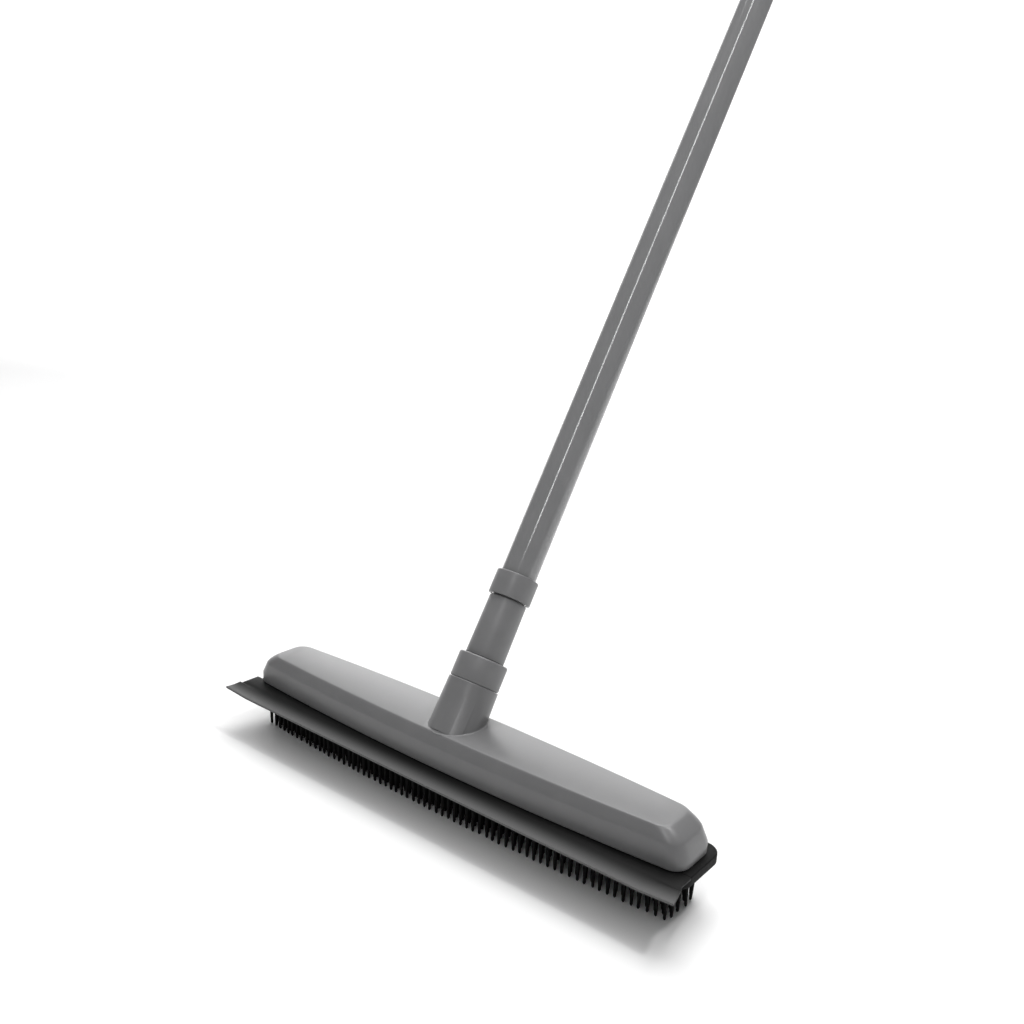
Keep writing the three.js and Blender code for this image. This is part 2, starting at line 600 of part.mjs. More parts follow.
function makeHangingCap() {
  const half = CAP_THICKNESS / 2;
  const foot = rod(CAP_RADIUS, CAP_BOTTOM, CAP_BOTTOM + CAP_FOOT);
  const top = CAP_BOTTOM + CAP_LENGTH - CAP_RADIUS;
  const tab = rod(CAP_RADIUS, -half, half).rotate([90, 0, 0]).translate([0, 0, top])
    .add(block(-CAP_RADIUS, CAP_RADIUS, -half, half, CAP_BOTTOM + 1, top));
  const eye = rod(CAP_HOLE_RADIUS, -CAP_RADIUS, CAP_RADIUS, 24).rotate([90, 0, 0])
    .translate([0, 0, top]);
  const headRoom = PIN_HEAD_RADIUS + GAP;
  const roomTop = CAP_BOTTOM + CAP_FOOT + PIN_HEAD_HEIGHT + GAP;
  const seat = block(-headRoom, headRoom, -CAP_RADIUS, CAP_RADIUS, CAP_BOTTOM + CAP_FOOT - GAP, roomTop);
  const bore = rod(PIN_RADIUS + TURN_FIT, CAP_BOTTOM - CUT, CAP_BOTTOM + CAP_FOOT + CUT);
  return foot.add(tab).subtract(union([eye, seat, bore]));
}

// ---- the assembly -------------------------------------------------------------------

const broom = new THREE.Group();

const head = new THREE.Group();
head.add(
  part('head_cover', makeCover(), GREY_PLASTIC),
  part('carrier_plate', makeCarrier(), PALE_PLASTIC),
  part('rubber_pad', makePad(), BLACK_RUBBER),
  part('squeegee_blade', makeBlade(), BLACK_RUBBER),
);
screwPlaces.forEach((place, i) => {
  head.add(part(`head_screw_${i + 1}`, makeScrew(place), ZINC_STEEL));
});
broom.add(head);

const pole = new THREE.Group();
pole.position.set(0, BOSS_Y, COVER_TOP);
pole.rotation.x = -POLE_LEAN;
pole.add(
  part('socket_collar', makeSocketCollar(), GREY_PLASTIC),
  part('thread_insert', makeThreadInsert(), PALE_PLASTIC),
  part('handle_adapter', makeAdapter(), GREY_PLASTIC),
  part('pole_collar', makePoleCollar(), GREY_PLASTIC),
  part('lower_tube', makeLowerTube(), GREY_TUBE),
  part('lock_collet', makeCollet(), PALE_PLASTIC),
  part('lock_nut', makeLockNut(), GREY_PLASTIC),
  part('upper_tube', makeUpperTube(), GREY_TUBE),
  part('guide_bush', makeGuideBush(), PALE_PLASTIC),
  part('foot_plug', makeFootPlug(), PALE_PLASTIC),
  part('grip', makeGrip(), GREY_PLASTIC),
  part('top_plug', makeTopPlug(), PALE_PLASTIC),
  part('swivel_pin', makeSwivelPin(), ZINC_STEEL),
  part('hanging_cap', makeHangingCap(), GREY_PLASTIC),
);
broom.add(pole);

export default broom;
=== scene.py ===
"""Rubber broom: moulded head with a rubber bristle pad and a squeegee lip, on a telescopic pole.

Everything is in metres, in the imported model's frame: +X runs along the head, -Y is the side of the
squeegee lip and +Z is up. Pieces on the pole are modelled upright about Z and then set on its axis.
"""
import json
import logging
import math
import random
from dataclasses import dataclass, field
from enum import Enum
from typing import Callable, Sequence

import bmesh
import bpy
from mathutils import Matrix, Vector


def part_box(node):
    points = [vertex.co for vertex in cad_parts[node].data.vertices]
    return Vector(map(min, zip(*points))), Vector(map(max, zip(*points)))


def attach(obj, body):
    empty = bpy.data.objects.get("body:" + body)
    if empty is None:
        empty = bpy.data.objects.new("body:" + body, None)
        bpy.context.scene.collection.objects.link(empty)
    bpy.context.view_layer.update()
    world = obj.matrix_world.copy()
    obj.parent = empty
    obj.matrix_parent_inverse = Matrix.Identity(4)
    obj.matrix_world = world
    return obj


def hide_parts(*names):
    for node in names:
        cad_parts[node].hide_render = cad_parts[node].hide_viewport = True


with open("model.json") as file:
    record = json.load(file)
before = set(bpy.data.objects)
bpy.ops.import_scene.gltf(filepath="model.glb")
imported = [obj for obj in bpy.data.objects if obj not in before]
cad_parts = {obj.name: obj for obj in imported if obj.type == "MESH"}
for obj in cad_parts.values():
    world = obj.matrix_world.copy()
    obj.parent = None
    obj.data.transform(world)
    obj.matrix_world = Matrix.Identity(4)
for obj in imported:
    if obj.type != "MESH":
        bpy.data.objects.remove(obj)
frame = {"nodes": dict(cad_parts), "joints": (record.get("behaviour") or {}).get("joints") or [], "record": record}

log = logging.getLogger("broom")
MM = 0.001
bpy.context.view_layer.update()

Piece = bpy.types.Object
Station = tuple[float, float]


class Body(Enum):
    """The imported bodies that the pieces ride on."""

    HEAD = "head"
    LOWER_POLE = "lower_pole"
    LOCK = "lock"
    UPPER_POLE = "upper_pole"
    CAP = "cap"


class Slot(Enum):
    """The record's material slots."""

    COVER = "cover_plastic"
    INNER = "inner_plastic"
    FITTING = "fitting_plastic"
    POLE = "pole_coat"
    PAD = "pad_rubber"
    LIP = "lip_rubber"
    STEEL = "zinc_steel"


class Pick(Enum):
    """What an edit-mode selection is made of."""

    VERT = "VERT"
    EDGE = "EDGE"
    FACE = "FACE"


# ---- hand tools ----


def close_edit() -> None:
    """Leaves edit mode."""
    bpy.ops.object.mode_set(mode="OBJECT")


def deselect() -> None:
    """Leaves edit mode and deselects every object."""
    if bpy.context.object and bpy.context.object.mode != "OBJECT":
        close_edit()
    bpy.ops.object.select_all(action="DESELECT")


def activate(piece: Piece) -> None:
    """Makes one object the only selected and active one."""
    deselect()
    piece.select_set(True)
    bpy.context.view_layer.objects.active = piece


def open_edit(piece: Piece) -> None:
    """Opens one object in edit mode."""
    activate(piece)
    bpy.ops.object.mode_set(mode="EDIT")


def pick(kind: Pick, test: Callable[[object], bool]) -> None:
    """Selects the parts of the edited mesh that pass a test, and nothing else.

    Args:
        kind: Whether vertices, edges or faces are selected.
        test: Says for one bmesh element whether it is wanted.
    """
    bpy.ops.mesh.select_mode(type=kind.value)
    bpy.ops.mesh.select_all(action="DESELECT")
    data = bpy.context.edit_object.data
    mesh = bmesh.from_edit_mesh(data)
    parts = {Pick.VERT: mesh.verts, Pick.EDGE: mesh.edges, Pick.FACE: mesh.faces}[kind]
    for part in [part for part in parts if test(part)]:
        part.select_set(True)
    mesh.select_flush_mode()
    bmesh.update_edit_mesh(data)


def move(x: float = 0, y: float = 0, z: float = 0) -> None:
    """Moves the selection by a distance along each axis."""
    bpy.ops.transform.translate(value=(x, y, z))


def stretch(x: float, y: float, z: float, centre: Sequence[float]) -> None:
    """Scales the selection about a point."""
    bpy.ops.transform.resize(value=(x, y, z), center_override=tuple(centre))


def extrude(x: float = 0, y: float = 0, z: float = 0) -> None:
    """Extrudes the selection by a distance along each axis."""
    bpy.ops.mesh.extrude_region_move(TRANSFORM_OT_translate={"value": (x, y, z)})


def tidy_mesh() -> None:
    """Merges doubles and turns every face of the edited mesh outwards."""
    bpy.ops.mesh.select_all(action="SELECT")
    bpy.ops.mesh.remove_doubles(threshold=0.004 * MM)
    bpy.ops.mesh.normals_make_consistent(inside=False)


def close_solid() -> None:
    """Fills the open rims of the edited mesh, mends it and leaves edit mode."""
    bpy.ops.mesh.select_all(action="SELECT")
    bpy.ops.mesh.fill_holes(sides=0)
    tidy_mesh()
    close_edit()


def open_new(name: str) -> Piece:
    """Names the primitive just added, applies its place and size and opens it in edit mode."""
    piece = bpy.context.object
    piece.name = name
    piece.data.name = name
    bpy.ops.object.transform_apply(location=True, rotation=True, scale=True)
    bpy.ops.object.mode_set(mode="EDIT")
    return piece


def start_box(name: str, low: Sequence[float], high: Sequence[float]) -> Piece:
    """Adds a box primitive between two corners and opens it in edit mode."""
    deselect()
    middle = [(a + b) / 2 for a, b in zip(low, high)]
    size = [b - a for a, b in zip(low, high)]
    bpy.ops.mesh.primitive_cube_add(size=1, location=middle, scale=size)
    return open_new(name)


def box_tool(name: str, low: Sequence[float], high: Sequence[float]) -> Piece:
    """Draws a plain box to cut with, in object mode."""
    box = start_box(name, low, high)
    close_edit()
    return box


def slice_at(x: float) -> None:
    """Cuts the edited mesh across at one place along X."""
    bpy.ops.mesh.select_all(action="SELECT")
    bpy.ops.mesh.bisect(plane_co=(x, 0, 0), plane_no=(1, 0, 0))


def start_loop(name: str, radius: float, height: float, sides: int) -> Piece:
    """Adds an open circle about Z and opens it in edit mode."""
    deselect()
    bpy.ops.mesh.primitive_circle_add(vertices=sides, radius=radius, location=(0, 0, height))
    piece = open_new(name)
    bpy.ops.mesh.select_mode(type="EDGE")
    bpy.ops.mesh.select_all(action="SELECT")
    return piece


def turned(name: str, stations: Sequence[Station], sides: int = 96,
           solid: bool = False) -> Piece:
    """Draws a round piece about Z by extruding a circle from station to station.

    Args:
        name: The new object's name.
        stations: Radius and height of each ring, outer wall first, going up.
        sides: How many facets go round.
        solid: True closes both ends flat; False joins the last ring to the first.

    Returns:
        The closed piece, in object mode.
    """
    radius, height = stations[0]
    piece = start_loop(name, radius, height, sides)
    for next_radius, next_height in stations[1:]:
        extrude(z=next_height - height)
        ratio = next_radius / radius
        stretch(ratio, ratio, 1, (0, 0, next_height))
        radius, height = next_radius, next_height
    if not solid:
        pick(Pick.EDGE, lambda edge: edge.is_boundary)
        bpy.ops.mesh.bridge_edge_loops()
    close_solid()
    return piece


def apply_all(piece: Piece) -> None:
    """Applies every modifier of a piece, in order."""
    activate(piece)
    for modifier in list(piece.modifiers):
        bpy.ops.object.modifier_apply(modifier=modifier.name)


def soften(piece: Piece, width: float, segments: int = 3, limit: float = 30) -> None:
    """Rounds the sharp edges of a piece and shades it smooth.

    Args:
        piece: The piece.
        width: The width of the rounding.
        segments: How many facets the rounding has.
        limit: Edges that turn by more than this many degrees are rounded.
    """
    modifier = piece.modifiers.new("soft_edges", "BEVEL")
    modifier.width = width
    modifier.segments = segments
    modifier.limit_method = "ANGLE"
    modifier.angle_limit = math.radians(limit)
    apply_all(piece)
    smooth(piece)


def smooth(piece: Piece, angle: float = 32) -> None:
    """Shades a piece smooth where its faces turn by less than an angle in degrees."""
    activate(piece)
    bpy.ops.object.shade_smooth_by_angle(angle=math.radians(angle))


def combine(piece: Piece, other: Piece, how: str) -> None:
    """Joins another solid to a piece or cuts it away, and deletes the other.

    Args:
        piece: The solid that is kept.
        other: The tool.
        how: UNION, DIFFERENCE or INTERSECT.
    """
    modifier = piece.modifiers.new(how.lower(), "BOOLEAN")
    modifier.operation = how
    modifier.object = other
    modifier.solver = "EXACT"
    apply_all(piece)
    bpy.data.objects.remove(other)


def join(pieces: Sequence[Piece], name: str) -> Piece:
    """Joins several objects into the first one and gives it a new name."""
    activate(pieces[0])
    for piece in pieces[1:]:
        piece.select_set(True)
    bpy.ops.object.join()
    joined = bpy.context.object
    joined.name = name
    joined.data.name = name
    return joined


def hand_over(piece: Piece, body: Body, slot: Slot, wardrobe: "Wardrobe",
              *nodes: str) -> None:
    """Dresses a finished piece and ties it to its body and its CAD nodes.

    Args:
        piece: The finished piece.
        body: The body that it rides on.
        slot: The record's slot it takes its finish from.
        wardrobe: Where the slot's material hangs.
        nodes: The CAD nodes that it stands for.
    """
    piece.data.materials.clear()
    piece.data.materials.append(wardrobe[slot])
    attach(piece, body.value)
    if nodes:
        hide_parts(*nodes)
    log.info("%s: %d faces, rides on %s", piece.name, len(piece.data.polygons), body.value)


# ---- the frame's own measures ----


@dataclass(frozen=True)
class Span:
    """How far a node reaches along the pole and out from its axis."""

    low: float
    high: float
    inner: float
    outer: float

    @property
    def length(self) -> float:
        """The reach along the pole."""
        return self.high - self.low

    def wall(self, foot: float, rise: float, top: float) -> list[Station]:
        """Gives the stations of an outer wall that is eased in at its foot and its top."""
        return [(self.outer - foot, self.low), (self.outer, self.low + rise),
                (self.outer, self.high - top), (self.outer - top, self.high)]


@dataclass(frozen=True)
class PoleAxis:
    """The pole's axis, as the joint that unscrews the handle states it."""

    origin: Vector
    along: Vector

    @classmethod
    def from_joint(cls, name: str) -> "PoleAxis":
        """Reads the axis of a named joint, from the joint's point."""
        joint = next(j for j in frame["joints"] if j["name"] == name)
        return cls(Vector(joint["pos_m"]), Vector(joint["axis"]).normalized())

    @property
    def lean(self) -> float:
        """The angle from upright, in radians, towards +Y."""
        return math.atan2(self.along.y, self.along.z)

    @property
    def placing(self) -> Matrix:
        """The matrix that sets an upright piece on the axis."""
        return Matrix.Translation(self.origin) @ Matrix.Rotation(-self.lean, 4, "X")

    def set_on(self, piece: Piece) -> Piece:
        """Sets an upright piece's mesh on the axis."""
        piece.data.transform(self.placing)
        piece.data.update()
        return piece

    def span(self, node: str) -> Span:
        """Measures a CAD node about the axis.

        Args:
            node: The node's name.

        Returns:
            Its reach along the axis, and its least and greatest radius.
        """
        back = self.placing.inverted()
        corners = [back @ vertex.co for vertex in frame["nodes"][node].data.vertices]
        heights = [corner.z for corner in corners]
        radii = [math.hypot(corner.x, corner.y) for corner in corners]
        return Span(min(heights), max(heights), min(radii), max(radii))


@dataclass(frozen=True)
class HeadPlan:
    """The lens-shaped plan that the cover, the rim and the base share."""

    half_length: float
    half_middle: float
    half_end: float
    corner: float

    @property
    def run(self) -> float:
        """Half the length of the curved sides, between the corners."""
        return self.half_length - self.corner

    def moved_in(self, inset: float, end_inset: float | None = None) -> "HeadPlan":
        """Gives the same plan, smaller all round.

        Args:
            inset: How far in along the sides; less than nothing moves it out.
            end_inset: The same at the two ends, if it differs.

        Returns:
            The new plan.
        """
        end = inset if end_inset is None else end_inset
        return HeadPlan(self.half_length - end, self.half_middle - inset, self.half_end - inset,
                        max(self.corner - max(inset, 0), 2 * MM))

    def half_width(self, x: float) -> float:
        """Gives half the width at a place along the head."""
        bulge = self.half_middle - self.half_end
        return self.half_end + bulge * max(0.0, 1 - (x / self.run) ** 2)


def lens_box(name: str, plan: HeadPlan, low: float, high: float, slices: int = 24,
             corner_facets: int = 8) -> Piece:
    """Makes a box with rounded corners and sides that swell towards the middle.

    Args:
        name: The new object's name.
        plan: Its outline from above.
        low: The height of its foot.
        high: The height of its top.
        slices: How many strips the curved sides are cut into.
        corner_facets: How many facets each corner has.

    Returns:
        The box, still in edit mode.
    """
    half = (plan.half_length, plan.half_end)
    piece = start_box(name, (-half[0], -half[1], low), (half[0], half[1], high))
    pick(Pick.EDGE, lambda edge: abs(edge.verts[0].co.z - edge.verts[1].co.z) > (high - low) / 2)
    bpy.ops.mesh.bevel(offset=plan.corner, segments=corner_facets, affect="EDGES")
    places = [-plan.run + 2 * plan.run * i / slices for i in range(1, slices)]
    for x in places:
        slice_at(x)
    for x in places:
        pick(Pick.VERT, lambda vert, at=x: abs(vert.co.x - at) < 0.02 * MM)
        stretch(1, plan.half_width(x) / plan.half_end, 1, (x, 0, 0))
    return piece


# ---- finishes ----


class Graph:
    """A node tree with short ways to add and link nodes."""

    def __init__(self, tree: bpy.types.NodeTree) -> None:
        """Takes the tree that nodes are added to."""
        self.tree = tree

    def add(self, kind: str, inputs: dict | None = None, **settings: object) -> bpy.types.Node:
        """Adds a node.

        Args:
            kind: Blender's type name of the node.
            inputs: Socket values, or the output sockets that feed them.
            settings: The node's own settings.

        Returns:
            The new node.
        """
        node = self.tree.nodes.new(kind)
        for key, value in settings.items():
            setattr(node, key, value)
        for key, value in (inputs or {}).items():
            if isinstance(value, bpy.types.NodeSocket):
                self.tree.links.new(value, node.inputs[key])
            else:
                node.inputs[key].default_value = value
        return node


def new_group(name: str, inputs: dict[str, str], outputs: dict[str, str]) -> tuple:
    """Starts a shader node group.

    Args:
        name: The group's name.
        inputs: Socket name to short type: Float, Color or Vector.
        outputs: The same for what it puts out.

    Returns:
        The group, its graph, its input node and its output node.
    """
    group = bpy.data.node_groups.new(name, "ShaderNodeTree")
    for side, sockets in (("INPUT", inputs), ("OUTPUT", outputs)):
        for socket, kind in sockets.items():
            group.interface.new_socket(name=socket, in_out=side, socket_type=f"NodeSocket{kind}")
    graph = Graph(group)
    return group, graph, graph.add("NodeGroupInput"), graph.add("NodeGroupOutput")


def make_grain_group() -> bpy.types.NodeTree:
    """Builds the fine grain that a mould leaves, with Vector and Scale in and Height out."""
    group, graph, take, give = new_group(
        "mould_grain", {"Vector": "Vector", "Scale": "Float"}, {"Height": "Float"})
    fine = graph.add("ShaderNodeTexNoise", {
        "Vector": take.outputs["Vector"], "Scale": take.outputs["Scale"],
        "Detail": 3.0, "Roughness": 0.55})
    cells = graph.add("ShaderNodeTexVoronoi", {
        "Vector": take.outputs["Vector"], "Scale": take.outputs["Scale"]})
    both = graph.add("ShaderNodeMath", {0: fine.outputs["Fac"], 1: cells.outputs["Distance"]},
                     operation="MULTIPLY")
    graph.tree.links.new(both.outputs[0], give.inputs["Height"])
    return group


def make_handling_group() -> bpy.types.NodeTree:
    """Builds the soft cloudy change of tone and gloss that handling and dust leave.

    Returns:
        The group, with Vector, Scale, two colours, a roughness and its spread in, and Color and
        Roughness out.
    """
    group, graph, take, give = new_group(
        "handling", {"Vector": "Vector", "Scale": "Float", "Clean": "Color", "Worn": "Color",
                     "Roughness": "Float", "Spread": "Float"},
        {"Color": "Color", "Roughness": "Float"})
    cloud = graph.add("ShaderNodeTexNoise", {
        "Vector": take.outputs["Vector"], "Scale": take.outputs["Scale"],
        "Detail": 5.0, "Roughness": 0.6, "Distortion": 0.4})
    mask = graph.add("ShaderNodeMapRange", {
        "Value": cloud.outputs["Fac"], "From Min": 0.3, "From Max": 0.75})
    tone = graph.add("ShaderNodeMix", {"Factor": mask.outputs["Result"]}, data_type="RGBA")
    graph.tree.links.new(take.outputs["Clean"], tone.inputs[6])
    graph.tree.links.new(take.outputs["Worn"], tone.inputs[7])
    gloss = graph.add("ShaderNodeMath", {
        0: mask.outputs["Result"], 1: take.outputs["Spread"], 2: take.outputs["Roughness"]},
        operation="MULTIPLY_ADD")
    graph.tree.links.new(tone.outputs[2], give.inputs["Color"])
    graph.tree.links.new(gloss.outputs[0], give.inputs["Roughness"])
    return group


@dataclass(frozen=True)
class Finish:
    """A moulded, coated or rubber surface with grain, cloudy wear and its own gloss."""

    name: str
    clean: tuple[float, float, float]
    worn: tuple[float, float, float]
    roughness: float
    spread: float
    grain: float
    grain_depth: float
    cloud: float = 30.0
    metallic: float = 0.0
    coat: float = 0.0
    specular: float = 0.5
    grain_run: tuple[float, float, float] = (1.0, 1.0, 1.0)
    lean: float = 0.0
    # Grey towards the lip: partly real bloom, partly painted light on the lit lip, with the root left black as if
    # in shade under the cover.
    lip_bloom_and_painted_light: tuple[float, float] | None = None
    lip_bloom_and_painted_light_tone: tuple[float, float, float] = (0.1, 0.1, 0.1)

    def make(self, grain_group: bpy.types.NodeTree,
             handling_group: bpy.types.NodeTree) -> bpy.types.Material:
        """Builds the material.

        Args:
            grain_group: The shared grain.
            handling_group: The shared wear.

        Returns:
            The material.
        """
        material = bpy.data.materials.new(self.name)
        material.use_nodes = True
        material.node_tree.nodes.clear()
        graph = Graph(material.node_tree)
        place = graph.add("ShaderNodeTexCoord")
        turn = graph.add("ShaderNodeMapping", {
            "Vector": place.outputs["Object"], "Rotation": (self.lean, 0, 0),
            "Scale": self.grain_run})
        grain = graph.add("ShaderNodeGroup", node_tree=grain_group)
        grain.inputs["Scale"].default_value = self.grain
        handling = graph.add("ShaderNodeGroup", node_tree=handling_group)
        for key, value in {"Scale": self.cloud, "Clean": (*self.clean, 1), "Worn": (*self.worn, 1),
                           "Roughness": self.roughness, "Spread": self.spread}.items():
            handling.inputs[key].default_value = value
        for group in (grain, handling):
            graph.tree.links.new(turn.outputs["Vector"], group.inputs["Vector"])
        bump = graph.add("ShaderNodeBump", {
            "Strength": 0.6, "Distance": self.grain_depth, "Height": grain.outputs["Height"]})
        shader = graph.add("ShaderNodeBsdfPrincipled", {
            "Metallic": self.metallic, "Coat Weight": self.coat, "Coat Roughness": 0.12,
            "Specular IOR Level": self.specular, "Roughness": handling.outputs["Roughness"],
            "Base Color": handling.outputs["Color"], "Normal": bump.outputs["Normal"]})
        # Painted light, mixed with bloom: the lip is greyed as if lit, while the root keeps the rubber's black.
        if self.lip_bloom_and_painted_light:
            self.add_lip_bloom_and_painted_light(graph, place, handling.outputs["Color"], shader)
        graph.add("ShaderNodeOutputMaterial", {"Surface": shader.outputs["BSDF"]})
        return material

    def add_lip_bloom_and_painted_light(self, graph: Graph, place: bpy.types.Node, colour: bpy.types.NodeSocket,
                  shader: bpy.types.Node) -> None:
        """Greys the rubber towards the lip, between two places across the head: partly the bloom of a lip in use,
        partly painted light where light falls on the lip.

        Args:
            graph: The material's graph.
            place: The texture coordinates.
            colour: The rubber's own colour.
            shader: The shader that takes the result.
        """
        split = graph.add("ShaderNodeSeparateXYZ", {"Vector": place.outputs["Object"]})
        fade = graph.add("ShaderNodeMapRange", {
            "Value": split.outputs["Y"], "From Min": self.lip_bloom_and_painted_light[0], "From Max": self.lip_bloom_and_painted_light[1]},
            interpolation_type="SMOOTHSTEP")
        mix = graph.add("ShaderNodeMix", {"Factor": fade.outputs["Result"]}, data_type="RGBA")
        graph.tree.links.new(colour, mix.inputs[6])
        mix.inputs[7].default_value = (*self.lip_bloom_and_painted_light_tone, 1)
        graph.tree.links.new(mix.outputs[2], shader.inputs["Base Color"])


class Wardrobe:
    """Every finish of the broom, built once and handed out by slot."""

    def __init__(self, lean: float) -> None:
        """Builds the shared groups and the materials.

        Args:
            lean: The pole's lean, which the finishes on the pole line up with.
        """
        grain = make_grain_group()
        handling = make_handling_group()
        self.materials = {slot: finish.make(grain, handling)
                          for slot, finish in self.finishes(lean).items()}

    @staticmethod
    def finishes(lean: float) -> dict[Slot, Finish]:
        """Gives the finish of each slot."""
        return {
            Slot.COVER: Finish(
                "cover_plastic", (0.155, 0.155, 0.158), (0.17, 0.17, 0.172), 0.28, 0.08,
                grain=2600, grain_depth=0.05 * MM, cloud=38),
            Slot.INNER: Finish(
                "inner_plastic", (0.26, 0.26, 0.265), (0.3, 0.3, 0.3), 0.5, 0.1,
                grain=2000, grain_depth=0.03 * MM),
            Slot.FITTING: Finish(
                "fitting_plastic", (0.175, 0.175, 0.178), (0.195, 0.195, 0.198), 0.34, 0.1,
                grain=2600, grain_depth=0.03 * MM, cloud=60, specular=0.45),
            Slot.POLE: Finish(
                "pole_coat", (0.195, 0.196, 0.199), (0.215, 0.216, 0.219), 0.12, 0.03,
                grain=900, grain_depth=0.002 * MM, cloud=70, coat=0.6,
                grain_run=(1, 1, 0.06), lean=lean),
            Slot.PAD: Finish(
                "pad_rubber", (0.004, 0.004, 0.004), (0.009, 0.009, 0.009), 0.55, 0.15,
                grain=1500, grain_depth=0.03 * MM, specular=0.1),
            # The lip's grey towards its edge is partly bloom and partly painted light where light falls on the
            # lip.
            Slot.LIP: Finish(
                "lip_rubber", (0.006, 0.006, 0.006), (0.012, 0.012, 0.012), 0.5, 0.15,
                grain=1500, grain_depth=0.03 * MM, specular=0.12,
                lip_bloom_and_painted_light=(-0.0245, -0.0365), lip_bloom_and_painted_light_tone=(0.12, 0.12, 0.12)),
            Slot.STEEL: Finish(
                "zinc_steel", (0.5, 0.5, 0.52), (0.42, 0.42, 0.43), 0.3, 0.15,
                grain=1200, grain_depth=0.01 * MM, metallic=1.0),
        }

    def __getitem__(self, slot: Slot) -> bpy.types.Material:
        """Gives a slot's material."""
        return self.materials[slot]


# ---- the head ----


@dataclass
class Head:
    """The moulded cover with its boss, the rubber pad and its bristles, and the squeegee lip."""

    axis: PoleAxis
    wardrobe: Wardrobe
    end_half_width: float = 16.5 * MM
    corner: float = 9 * MM
    wall: float = 2.4 * MM
    side_height: float = 12.5 * MM
    side_draft: float = 0.7 * MM
    shoulder_inset: float = 4.2 * MM
    end_lean: float = 3.2 * MM
    end_slope: float = 8.2 * MM
    crease: float = 0.45 * MM
    foot_edge: float = 0.6 * MM
    boss_foot_radius: float = 16.2 * MM
    boss_top_radius: float = 15.5 * MM
    boss_fillet: float = 0.9 * MM
    rim_overhang: float = 4.2 * MM
    rim_end_overhang: float = 2 * MM
    rim_thickness: float = 5.7 * MM
    seat_depth: float = 1.5 * MM
    seat_reach: float = 9.8 * MM
    pad_shift: float = 2 * MM
    base_inset: float = 1 * MM
    base_bottom: float = 20 * MM
    base_lap: float = 0.5 * MM
    bristle_pitch: float = 4.7 * MM
    bristle_rows: int = 9
    bristle_root_radius: float = 1.25 * MM
    bristle_root: float = 20.6 * MM
    bristle_edge: float = 2.2 * MM
    bristle_bends: tuple[float, ...] = (-0.5 * MM, -0.15 * MM, 0.15 * MM, 0.45 * MM)
    blade_thickness: float = 1.4 * MM
    blade_root: float = 9.7 * MM
    blade_overhang: float = 4.2 * MM
    blade_clearance: float = 2.2 * MM
    end_lift: float = 0.35 * MM
    end_depths: tuple[float, ...] = (3 * MM, 7 * MM, 12 * MM, 18 * MM)
    blade_steps: int = 10
    blade_slices: int = 68
    seed: int = 11
    bottom: float = field(init=False)
    top: float = field(init=False)
    plan: HeadPlan = field(init=False)

    def __post_init__(self) -> None:
        """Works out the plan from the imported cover."""
        low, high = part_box("head_cover")
        self.bottom = low.z
        self.top = self.axis.origin.z
        self.plan = HeadPlan(high.x, -low.y, self.end_half_width, self.corner)

    def build(self) -> None:
        """Builds every piece of the head."""
        self.build_cover()
        self.build_pad()
        self.build_bristles()
        self.build_blade()

    def build_cover(self) -> None:
        """Builds the cover: a hollow lens-shaped shell with a leaning boss."""
        shell = self.draw_hull("cover_shell")
        combine(shell, self.draw_hull("cover_inside", self.wall), "DIFFERENCE")
        combine(shell, self.draw_boss(), "UNION")
        combine(shell, self.draw_boss_fillet(), "UNION")
        combine(shell, self.draw_bore(), "DIFFERENCE")
        smooth(shell, 28)
        hand_over(shell, Body.HEAD, Slot.COVER, self.wardrobe, "head_cover")

    def hull_levels(self, steps: int = 9) -> list[tuple[float, float, float]]:
        """Works out how the cover draws in as it rises from its shoulder.

        Args:
            steps: How many strips the bend over the shoulder has.

        Returns:
            For each level the inset of the sides, the inset of the ends and the height.
        """
        rise = self.top - self.bottom - self.side_height - self.crease
        levels = [(self.side_draft, self.end_lean, self.side_height)]
        for i in range(1, steps + 1):
            share = i / steps
            side = (self.shoulder_inset - self.side_draft) * share ** 1.3
            end = self.end_slope * share ** 1.5
            levels.append((self.side_draft + side, self.end_lean + end,
                           self.side_height + rise * share))
        side, end, level = levels[-1]
        levels.append((side + self.crease, end + 2.5 * self.crease, level + 0.65 * self.crease))
        levels.append((side + 2.4 * self.crease, end + 6 * self.crease, level + self.crease))
        return levels

    def draw_hull(self, name: str, inset: float = 0.0) -> Piece:
        """Draws the cover's outside, or the room inside it.

        Args:
            name: The new object's name.
            inset: How far it lies inside the cover's surface.

        Returns:
            The closed solid.
        """
        plan = self.plan.moved_in(inset)
        foot = self.bottom + self.foot_edge
        hull = lens_box(name, plan, foot, self.bottom + self.side_height / 2)
        length, width, rise = plan.half_length, plan.half_middle, self.side_height / 2
        pick(Pick.FACE, lambda face: face.normal.z > 0.9)
        for side, end, level in self.hull_levels():
            new_length, new_width = plan.half_length - end, plan.half_middle - side
            extrude(z=level - inset - rise)
            stretch(new_length / length, new_width / width, 1, (0, 0, 0))
            length, width, rise = new_length, new_width, level - inset
        pick(Pick.FACE, lambda face: face.normal.z < -0.9)
        extrude(z=-self.foot_edge - 2 * inset)
        if not inset:
            eased = 1 - self.foot_edge / plan.half_middle
            stretch(1 - self.foot_edge / plan.half_length, eased, 1, (0, 0, 0))
        tidy_mesh()
        close_edit()
        return hull

    def draw_boss(self) -> Piece:
        """Draws the leaning boss with the spigot that the collar sits on."""
        collar = self.axis.span("socket_collar")
        insert = self.axis.span("thread_insert")
        shoulder = collar.low - 0.3 * MM
        spigot = insert.outer + 1.8 * MM
        boss = turned("boss", [
            (self.boss_foot_radius, -9 * MM), (self.boss_top_radius, shoulder - 0.35 * MM),
            (self.boss_top_radius - 0.35 * MM, shoulder), (spigot, shoulder),
            (spigot, insert.high),
        ], solid=True)
        return self.axis.set_on(boss)

